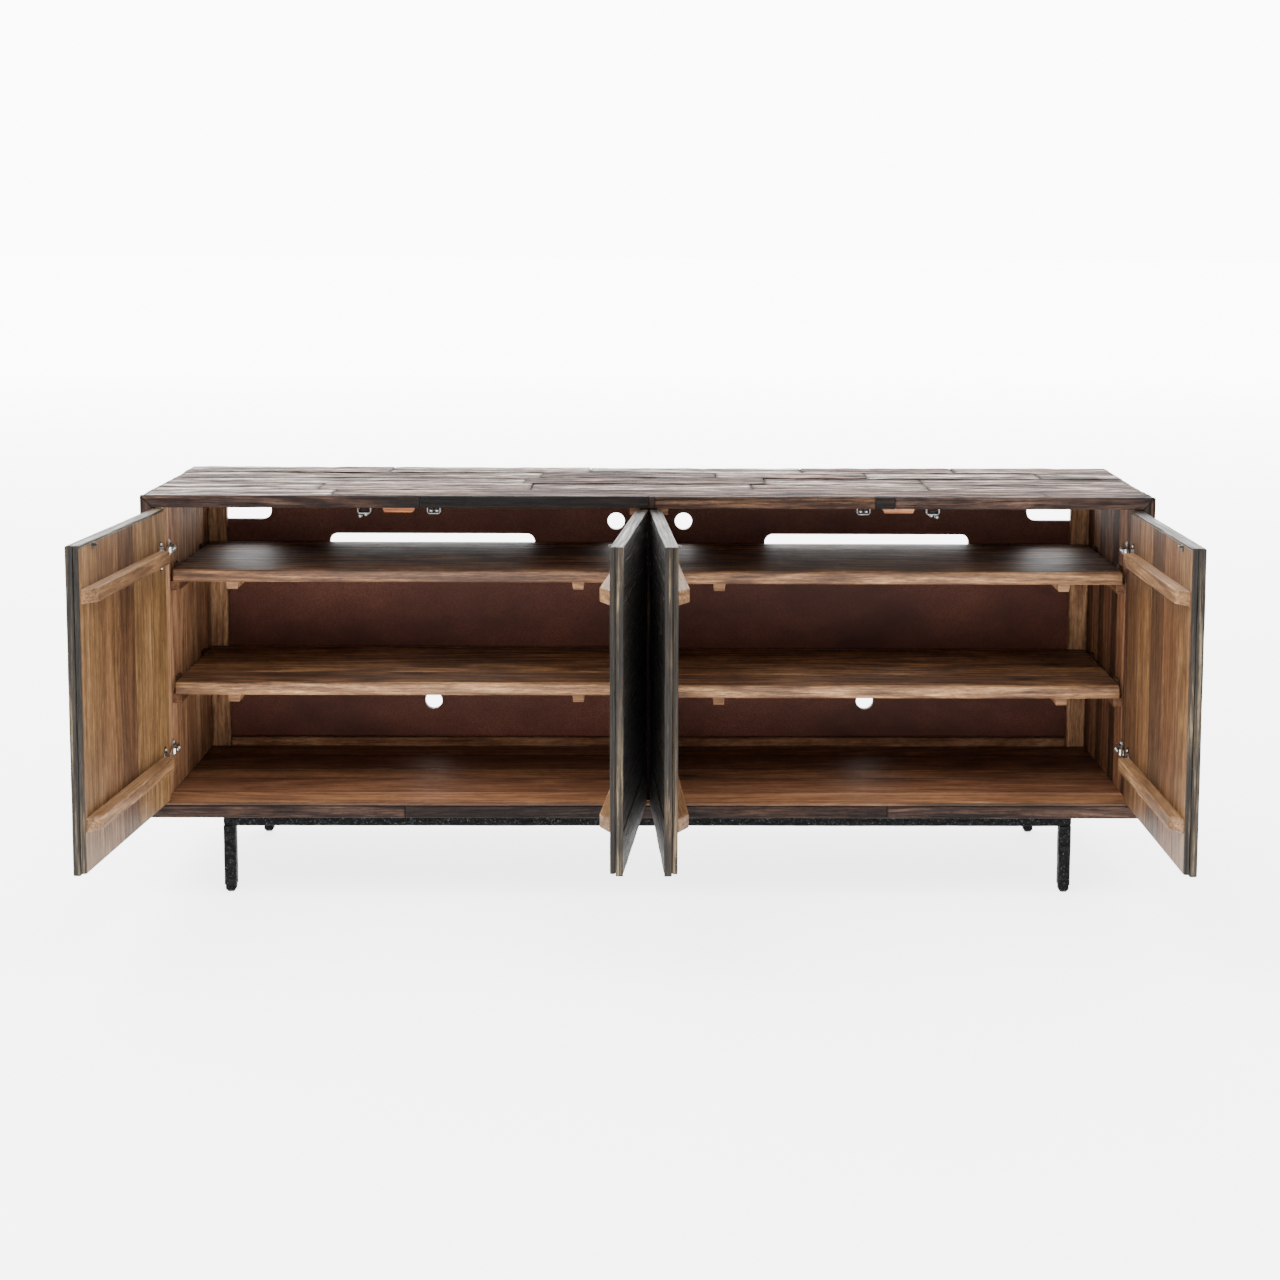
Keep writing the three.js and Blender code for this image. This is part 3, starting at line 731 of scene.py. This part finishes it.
def make_divider():
    """The upright between the bays, its near-black front strip painted as shade in the gap between the
    centre doors, and the blocks at its top.
    """
    lowest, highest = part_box("centre_divider")
    thickness = 0.034
    block_depth = 0.024
    block_drop = 0.016
    part = Part("divider_boards", LINING_WOOD)
    strip = 0.004
    inner_low = Vector((MIDDLE - thickness / 2, lowest.y + strip, lowest.z))
    inner_high = Vector((MIDDLE + thickness / 2, highest.y, highest.z))
    fill_boards(part, inner_low, inner_high, Z, Y, X, [0.9, 1.0, 0.8, 1.1, 0.9],
                [0.8, 0.4, 0.9, 0.55, 0.3], pitch=0.1)
    part.place("root", "natural_wood", ["centre_divider"])
    # The front strip is near black: painted shade in the gap between the centre doors.
    part = Part("divider_front_shade_strip", GAP_SHADE_WOOD)
    plank(part, Vector((inner_low.x, inner_low.y - SEAM / 2, lowest.z)), Z, X, -Y,
          (highest.z - lowest.z, thickness, strip - SEAM / 2), tone=0.0, bevel=0.0006)
    part.place("root", "natural_wood")
    part = Part("divider_top_blocks", LINING_WOOD)
    for sign in SIDES.values():
        x0 = MIDDLE + sign * (thickness / 2 + SEAM)
        reach = (highest.x - lowest.x) / 2 - thickness / 2 - SEAM
        plank(part, Vector((x0, lowest.y, highest.z - block_drop)), X * sign, Y, Z,
              (reach, block_depth, block_drop), tone=0.5, bevel=0.001)
    part.place("root", "natural_wood")


def make_shelf(side, sign, level):
    """A shelf of edge-glued staves with a lighter front lip, and two stiffeners under it."""
    node = f"shelf_{side}_{level}"
    lowest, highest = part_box(node)
    thickness = 0.0245
    lip = 0.016
    under = highest.z - thickness
    part = Part(f"shelf_boards_{side}_{level}", SHELF_WOOD)
    body_low = Vector((lowest.x, lowest.y + lip, under))
    tones = [chance.uniform(0.15, 0.75) for _ in range(4)]
    fill_boards(part, body_low, highest, X, Y, Z, [1.0, 0.85, 1.15, 0.9], tones, bevel=0.0004,
                pitch=0.15)
    front_tone = {("left", "upper"): 0.45, ("right", "upper"): 0.7}.get((side, level), 1.0)
    plank(part, Vector((lowest.x, lowest.y, under)), X, Y, Z,
          (highest.x - lowest.x, lip - SEAM, thickness), tone=front_tone, bevel=0.0028, pitch=0.06,
          lane=0.005)
    part.place("root", "shelf_wood", [node])

    inset, front_gap, rear_gap = 0.118, 0.011, 0.015
    foot, head, deep = 0.021 / 2, 0.025 / 2, under - lowest.z
    outline = [(-foot, 0), (foot, 0), (head, deep), (-head, deep)]
    strips = Part(f"shelf_stiffeners_{side}_{level}", LINING_WOOD)
    start = lowest.y + front_gap
    for x in (lowest.x + inset, highest.x - inset):
        prism(strips, outline, Vector((x, start, lowest.z)), X, Z,
              Y * (highest.y - rear_gap - start), tone=0.8)
    strips.place("root", "shelf_wood")


def make_cleat(side, level, end):
    """A wall strip under a shelf's end, with two lugs that locate the shelf."""
    node = f"cleat_{side}_{level}_{end}"
    lowest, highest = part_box(node)
    inward = facing(side, end)
    wall = lowest.x if inward > 0 else highest.x
    lug_reach, lug_length, lug_starts = 0.0066, 0.030, (0.030, 0.280)
    height = 0.020
    part = Part(f"cleat_strip_{side}_{level}_{end}", LINING_WOOD)
    plank(part, Vector((wall, lowest.y, lowest.z)), Y, X * inward, Z,
          (highest.y - lowest.y, highest.x - lowest.x, height), tone=0.4, bevel=0.001, pitch=0.1)
    for start in lug_starts:
        plank(part, Vector((wall, lowest.y + start, lowest.z + height / 2)), Z, Y, X * inward,
              (highest.z - lowest.z - height / 2, lug_length, lug_reach), tone=0.1, bevel=0.0012)
    part.place("root", "natural_wood", [node])


# ---- Iron base ----
def make_base():
    """Hammered square bar: a ring under the case, and four legs with tapered tips."""
    lowest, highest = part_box("base_frame")
    bar = highest.z - lowest.z
    hammer = {"bevel": 0.0026, "rough": 0.0007, "wobble": 0.0007, "pitch": 0.007, "lane": 0.007,
              "all_round": True}
    ring = Part("base_ring", IRON)
    for y in (lowest.y, highest.y - bar):
        plank(ring, Vector((lowest.x, y, lowest.z)), X, Y, Z, (highest.x - lowest.x, bar, bar), **hammer)
    for x in (lowest.x, highest.x - bar):
        plank(ring, Vector((x, lowest.y + bar - 0.001, lowest.z)), Y, X, Z,
              (highest.y - lowest.y - 2 * bar + 0.002, bar, bar), **hammer)
    ring.place("root", "hammered_iron", ["base_frame"])
    for side in SIDES:
        for row in ("front", "rear"):
            node = f"leg_{row}_{side}"
            lowest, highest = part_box(node)
            tip = 0.013
            leg = Part(f"hammered_leg_{row}_{side}", IRON)
            length = highest.z - lowest.z - tip + hammer["bevel"]
            plank(leg, lowest + Z * tip, Z, X, Y, (length, bar, bar), **hammer)
            foot = rounded_outline(bar - 0.003, bar - 0.003, 0.003)
            toe = rounded_outline(bar - 0.011, bar - 0.011, 0.004)
            middle = (lowest + highest) / 2
            rings = []
            for outline, z in ((toe, 0.0), (foot, 0.006), (foot, tip + 0.004)):
                rings.append([leg.point(Vector((middle.x + a, middle.y + b, lowest.z + z)),
                                        Vector((a, b, z))) for a, b in outline])
            leg.bridge(rings)
            leg.place("root", "hammered_iron", [node])


# ---- Fittings on the case ----
def make_hinge_arm(side, place, level):
    """The fixed arm of a cup hinge: a mounting plate, a stamped arm and its screws."""
    node = f"hinge_arm_{side}_{place}_{level}"
    lowest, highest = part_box(node)
    middle = (lowest + highest) / 2
    inward = facing(side, place)
    wall = lowest.x if inward > 0 else highest.x
    out = X * inward
    reach = highest.x - lowest.x
    plate_at, plate_thickness = 0.030, 0.002
    part = Part(f"hinge_arm_metal_{side}_{place}_{level}", NICKEL)
    plate = rounded_outline(0.013, 0.034, 0.004)
    prism(part, plate, Vector((wall, lowest.y + plate_at, middle.z)), Y, Z, out * plate_thickness,
          bevel=0.0006)
    arm = [(0.0, 0.003), (0.003, reach - 0.0015), (0.008, reach), (0.040, reach),
           (0.0535, reach - 0.006), (0.0535, 0.003)]
    width = 0.014
    prism(part, arm, Vector((wall, lowest.y, middle.z - width / 2)), Y, out, Z * width, bevel=0.0015)
    face = Vector((wall, lowest.y, middle.z)) + out * reach
    screw(part, face + Y * 0.016, out)
    screw(part, face + Y * 0.032, out, 0.0038)
    for lift in (-0.0125, 0.0125):
        foot = Vector((wall, lowest.y + plate_at, middle.z + lift))
        screw(part, foot + out * plate_thickness, out, 0.003)
    part.place("root", "nickel", [node])


def make_catch_rollers(side, sign, place):
    """Two sprung rollers in a catch. Those of the outer catches hang a little, as in use."""
    lowest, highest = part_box(f"catch_{side}_{place}")
    middle = (lowest + highest) / 2
    hanging = place == "outer"
    spacing, radius, pin = 0.0057, 0.0039, 0.0017
    drop, lean = (0.0076, 0.003 * sign) if hanging else (0.0, 0.0)
    part = Part(f"catch_rollers_{side}_{place}", CATCH_PLATE)
    pins = Part(f"catch_pins_{side}_{place}", NICKEL)
    for offset in (-spacing, spacing):
        centre = Vector((middle.x + offset + lean, lowest.y + 0.002, middle.z - 0.001 - drop))
        if hanging and offset * sign > 0:
            centre.z -= 0.003
        turned(part, centre, Y, [(0.0, 0.0018), (0.0008, radius), (0.015, radius), (0.0158, 0.0018)])
        turned(pins, centre - Y * 0.0015, Y,
               [(0.0, 0.0009), (0.0006, pin), (0.0185, pin), (0.019, 0.0009)], sides=12)
    if hanging:
        spring = Vector((middle.x + 0.004 * sign, lowest.y + 0.017, middle.z - 0.006))
        prism(part, rounded_outline(0.018, 0.009, 0.003), spring, X, Z, Y * 0.0015)
    part.place("root", "catch_metal")
    pins.place("root", "catch_metal")


# ---- Doors ----
# Widths and tones of the upright boards inside each door, from its hinge edge.
INNER_BOARDS = {
    "door_left_outer": ([0.095, 0.099, 0.084, 0.112, 0.096], [0.8, 0.66, 0.16, 0.42, 0.6]),
    "door_left_centre": ([0.090, 0.104, 0.082, 0.100, 0.110], [0.60, 0.85, 0.40, 0.75, 0.55]),
    "door_right_centre": ([0.102, 0.086, 0.108, 0.094, 0.096], [0.70, 0.45, 0.80, 0.55, 0.65]),
    "door_right_outer": ([0.088, 0.106, 0.092, 0.110, 0.090], [0.15, 0.42, 0.05, 0.3, 0.5]),
}


class Door:
    """One door, described closed: s runs from the hinge edge, d from the outer face inwards."""

    def __init__(self, name):
        self.name = name
        self.side = "left" if "left" in name else "right"
        self.place = "outer" if "outer" in name else "centre"
        toward = facing(self.side, self.place)
        joint = next(j for j in frame["joints"] if j["child"] == name)
        pivot = Vector((joint["pos_m"][0], joint["pos_m"][1], 0))
        turn = -toward * math.radians(OPEN_ANGLE[name])
        self.space = Matrix.Translation(pivot) @ Matrix.Rotation(turn, 4, "Z")
        self.along = X * toward
        self.bottom = low(f"{name}_front").z
        self.top = high(f"{name}_front").z
        self.hinges = (self.bottom + HINGE_INSET, self.top - HINGE_INSET)

    def at(self, s, d, z):
        return self.along * s + Y * d + Z * z

    def part(self, suffix, material):
        return Part(f"{self.name}_{suffix}", material, self.space)

    def make_front(self):
        """Rows of charcoal boards of uneven height and depth, beside strips on the free and top edges."""
        part = self.part("front_boards", DOOR_WOOD)
        end = DOOR_WIDTH - EDGING
        top = self.top - EDGING
        z = self.bottom
        while z < top - 0.001:
            height = chance.uniform(0.052, 0.104)
            if top - z - height < 0.05:
                height = top - z
            split = chance.uniform(0.25, 0.75) * end if chance.random() < 0.6 else end
            ends = [0.0, split, end] if split < end else [0.0, end]
            for s0, s1 in zip(ends, ends[1:]):
                sink = chance.uniform(0.0004, 0.0022)
                plank(part, self.at(s0, GLUE_FACE, z + SEAM), self.along, Z, -Y,
                      (s1 - s0 - SEAM, height - 2 * SEAM, GLUE_FACE - sink),
                      bevel=0.0011, rough=0.0009, wobble=0.0008, pitch=0.018, lane=0.009)
            z += height
        part.place(self.name, "charcoal_wood", [f"{self.name}_front"])
        self.make_edging("front", 0.0, GLUE_FACE, self.bottom)
        strip = self.part("top_edge_strip", DOOR_EDGE)
        plank(strip, self.at(0.0, DOOR_THICKNESS - 0.0002, self.top - EDGING), self.along, -Y, Z,
              (end - SEAM, DOOR_THICKNESS - 0.0002, EDGING), tone=0.9,
              bevel=0.0012, rough=0.0004, wobble=0.0005, pitch=0.02, lane=0.005)
        strip.place(self.name, "charcoal_wood")

    def make_edging(self, layer, outer, inner, bottom):
        """A weathered strip over the free edge of one layer of the door."""
        part = self.part(f"{layer}_edge_strip", DOOR_EDGE)
        plank(part, self.at(DOOR_WIDTH - EDGING, inner, bottom), Z, -Y, self.along,
              (self.top - bottom, inner - outer, EDGING), tone=chance.uniform(0.2, 0.8),
              bevel=0.0012, rough=0.0005, wobble=0.0006, pitch=0.016, lane=0.005)
        part.place(self.name, "charcoal_wood")

    def make_inner(self):
        """Upright natural boards glued side by side."""
        part = self.part("inner_boards", INNER_WOOD)
        lowest = low(f"{self.name}_inner").z
        widths, tones = INNER_BOARDS[self.name]
        reach = (DOOR_WIDTH - EDGING) / sum(widths)
        s = 0.0
        for width, tone in zip(widths, tones):
            width *= reach
            plank(part, self.at(s + SEAM / 2, DOOR_FRONT, lowest), Z, self.along, Y,
                  (self.top - EDGING - SEAM - lowest, width - SEAM, DOOR_INNER), tone=tone,
                  bevel=0.0007, pitch=0.09, lane=0.02)
            s += width
        part.place(self.name, "door_inner_wood", [f"{self.name}_inner"])
        self.make_edging("inner", DOOR_FRONT + 0.0006, DOOR_THICKNESS - 0.0002, lowest)

    def make_battens(self):
        """Stiffening battens with a sloped free end, eased long edges and grain along them."""
        start, end, slope, height, thickness, bevel = 0.042, 0.480, 0.030, 0.026, 0.022, 0.0014
        base = DOOR_THICKNESS + 0.0003
        crown = DOOR_THICKNESS + thickness
        for level, z in zip(("lower", "upper"), self.hinges):
            part = self.part(f"batten_wood_{level}", PALE_WOOD)
            shift = scatter(2)
            rings = []
            for rise, inset in ((0, bevel), (bevel, 0), (height - bevel, 0), (height, bevel)):
                outline = [(start + inset, base), (end - inset, base), (end - inset, base + 0.0015),
                           (end - slope - inset, crown - inset), (start + inset, crown - inset)]
                ring = []
                for s, d in outline:
                    place = self.at(s, d, z - height / 2 + rise)
                    rub = 0.7 if inset else 0.0
                    ring.append(part.point(place, shift + Vector((s, d, rise)), 0.5, rub))
                rings.append(ring)
            part.bridge(rings)
            part.place(self.name, "pale_wood", [f"{self.name}_batten_{level}"])

    def make_cups(self):
        """The cup flanges of both hinges with their screws, and the strike near the free edge."""
        part = self.part("hinge_cups", NICKEL)
        sockets = self.part("hinge_screw_sockets", BLACK_PLATE)
        face = DOOR_THICKNESS
        for z in self.hinges:
            flange = rounded_outline(0.012, 0.040, 0.005)
            prism(part, flange, self.at(0.031, face, z), self.along, Z, Y * 0.0008, bevel=0.0003)
            turned(part, self.at(CUP_SETBACK, face, z), Y, [
                (-0.004, 0.0168), (0.0001, 0.0180), (0.0005, 0.0177), (0.0006, 0.0158),
                (0.0001, 0.0150), (-0.0002, 0.001),
            ], sides=32)
            for lift in (-0.024, 0.024):
                centre = self.at(0.028, face, z + lift)
                turned(sockets, centre, Y, [(-0.001, 0.0058), (0.0008, 0.0058), (0.0012, 0.0053),
                                            (0.0006, 0.0044), (0.0005, 0.0005)], sides=20)
                screw(part, centre + Y * 0.0005, Y, 0.0027)
        part.place(self.name, "nickel")
        sockets.place(self.name, "nickel")

        strike = self.part("strike", CATCH_PLATE)
        s = STRIKE_ALONG[self.place]
        z = self.top - 0.0075
        plate = rounded_outline(0.012, 0.013, 0.003)
        prism(strike, plate, self.at(s, face, z - 0.0025), self.along, Z, Y * 0.0015, bevel=0.0004)
        tongue = [(-0.0008, 0.0), (0.0008, 0.0), (0.0008, 0.004), (0.0013, 0.006), (0.0005, 0.0085),
                  (-0.0005, 0.0085), (-0.0013, 0.006), (-0.0008, 0.004)]
        prism(strike, tongue, self.at(s, face + 0.001, z - 0.0022), self.along, Y, Z * 0.0044,
              bevel=0.0002)
        strike.place(self.name, "catch_metal")

    def make_links(self):
        """The stamped links that cross from each cup to its arm, built at the door's resting angle."""
        for level, z in zip(("lower", "upper"), self.hinges):
            lowest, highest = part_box(f"hinge_arm_{self.side}_{self.place}_{level}")
            cup = self.space @ self.at(CUP_SETBACK, DOOR_THICKNESS + 0.001, z)
            lifted = self.space @ self.at(CUP_SETBACK - 0.002, DOOR_THICKNESS + 0.009, z)
            arm = Vector(((lowest.x + highest.x) / 2, lowest.y + 0.004, z))
            path = [cup, lifted, lifted.lerp(arm, 0.5), lifted.lerp(arm, 0.8), arm]
            part = Part(f"{self.name}_hinge_link_{level}", NICKEL)
            half_width, half_thick = 0.0062, 0.0016
            rings = []
            for i, place in enumerate(path):
                ahead = path[min(i + 1, len(path) - 1)] - path[max(i - 1, 0)]
                side = ahead.cross(Z).normalized()
                ring = []
                for a, b in ((-1, -1), (1, -1), (1, 1), (-1, 1)):
                    point = place + Z * (a * half_width) + side * (b * half_thick)
                    ring.append(part.point(point, Vector((i * 0.01, a * 0.01, b * 0.01))))
                rings.append(ring)
            part.bridge(rings)
            made = part.build()
            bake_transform(made)


def dress_cad_nodes():
    """Nodes whose CAD shape is right keep it, and take a finished material and eased edges."""
    finishes = {f"back_panel_{side}": BACK_BOARD for side in SIDES}
    for side in SIDES:
        finishes[f"stop_block_{side}"] = BLOCK_WOOD
        for place in ("outer", "centre"):
            finishes[f"catch_{side}_{place}"] = CATCH_METAL
    for name, material in finishes.items():
        node = frame["nodes"][name]
        for slot in node.material_slots:
            slot.material = material
        ease = node.modifiers.new("eased_edges", "BEVEL")
        ease.width = 0.0005
        ease.limit_method = "ANGLE"
        ease.segments = 2


# ---- Studio ----
FLOOR_GLOW = 3.2  # light that the floor gives off under and before the unit
FAR_FLOOR_GLOW = 9.6  # and far behind it, where it meets the surround
ROOM_GLOW = 1.4  # strength of the surround in front of the unit
SURROUND = 11.0  # and behind it
SURROUND_STARTS = 0.62  # where it begins to brighten, from 0 at the sides to 1 straight behind
SURROUND_FULL = 0.95


def make_floor():
    """A wide pale floor."""
    reach = 60.0
    mesh = bpy.data.meshes.new("studio_floor")
    corners = [(-reach, -reach, 0), (reach, -reach, 0), (reach, reach, 0), (-reach, reach, 0)]
    mesh.from_pydata(corners, [], [(0, 1, 2, 3)])
    sh = Shader("studio_floor_paint", "object")
    mottle = sh.noise(sh.coords, (2.0, 2.0, 2.0), 3.0)
    sh.set("Base Color", sh.mix(mottle, shade(236, 236, 236), shade(240, 240, 240)))
    sh.set("Roughness", 0.85)
    sh.set("Specular IOR Level", 0.1)
    sh.set("Emission Color", (1.0, 1.0, 1.0, 1.0))
    along = sh.node("ShaderNodeSeparateXYZ", {0: sh.coords}).outputs["Y"]
    sh.set("Emission Strength", sh.spread(along, 1.0, 14.0, FLOOR_GLOW, FAR_FLOOR_GLOW))
    mesh.materials.append(sh.material)
    floor = add_object("studio_floor", mesh)


def soft_light(name, place, target, width, height, power):
    data = bpy.data.lights.new(name, "AREA")
    data.shape = "RECTANGLE"
    data.size = width
    data.size_y = height
    data.energy = power
    lamp = add_object(name, data)
    lamp.location = place
    lamp.rotation_euler = (Vector(target) - Vector(place)).to_track_quat("-Z", "Y").to_euler()


def make_lights():
    """A broad overhead softbox, a weaker one from the front left, and a white surround."""
    soft_light("overhead_softbox", (-0.8, -0.6, 4.2), (0, 0.2, 0), 7.0, 5.0, 640)
    soft_light("front_left_softbox", (-3.4, -4.0, 1.7), (0, 0.2, 0.45), 2.2, 1.6, 60)
    world = bpy.data.worlds.new("studio_surround")
    bpy.context.scene.world = world
    world.use_nodes = True
    tree = world.node_tree
    coords = tree.nodes.new("ShaderNodeTexCoord")
    split = tree.nodes.new("ShaderNodeSeparateXYZ")
    level = tree.nodes.new("ShaderNodeMapRange")
    limits = {"From Min": SURROUND_STARTS, "From Max": SURROUND_FULL,
              "To Min": ROOM_GLOW, "To Max": SURROUND}
    for socket, value in limits.items():
        level.inputs[socket].default_value = value
    background = tree.nodes["Background"]
    background.inputs["Color"].default_value = (1, 1, 1, 1)
    tree.links.new(coords.outputs["Generated"], split.inputs[0])
    tree.links.new(split.outputs["Y"], level.inputs["Value"])
    tree.links.new(level.outputs["Result"], background.inputs["Strength"])


def make_camera():
    """The photograph's camera, as solved from the case's corners and the doors' edges."""
    pitch, yaw, roll = math.radians(6.3235), math.radians(0.564), math.radians(0.2208)
    data = bpy.data.cameras.new("photo_camera")
    data.sensor_width = 36.0
    data.lens = 60.738
    data.shift_x = -0.0313
    data.shift_y = -0.1477
    camera = add_object("photo_camera", data)
    turn = Matrix.Rotation(-yaw, 4, "Z") @ Matrix.Rotation(math.pi / 2 - pitch, 4, "X")
    turn = turn @ Matrix.Rotation(roll, 4, "Z")
    camera.matrix_world = Matrix.Translation((0.02751, -4.22987, 1.37203)) @ turn
    bpy.context.scene.camera = camera


# ---- Assembly ----
make_top()
make_bottom()
make_linings()
make_base()
for side_name, side_sign in SIDES.items():
    make_side(side_name, side_sign)
    for shelf_level in ("lower", "upper"):
        make_shelf(side_name, side_sign, shelf_level)
        for cleat_end in ("outer", "inner"):
            make_cleat(side_name, shelf_level, cleat_end)
    for hinge_place in ("outer", "centre"):
        make_catch_rollers(side_name, side_sign, hinge_place)
        for hinge_level in ("lower", "upper"):
            make_hinge_arm(side_name, hinge_place, hinge_level)
for door_name in OPEN_ANGLE:
    door = Door(door_name)
    door.make_front()
    door.make_inner()
    door.make_battens()
    door.make_cups()
    door.make_links()
dress_cad_nodes()
make_floor()
make_lights()
make_camera()
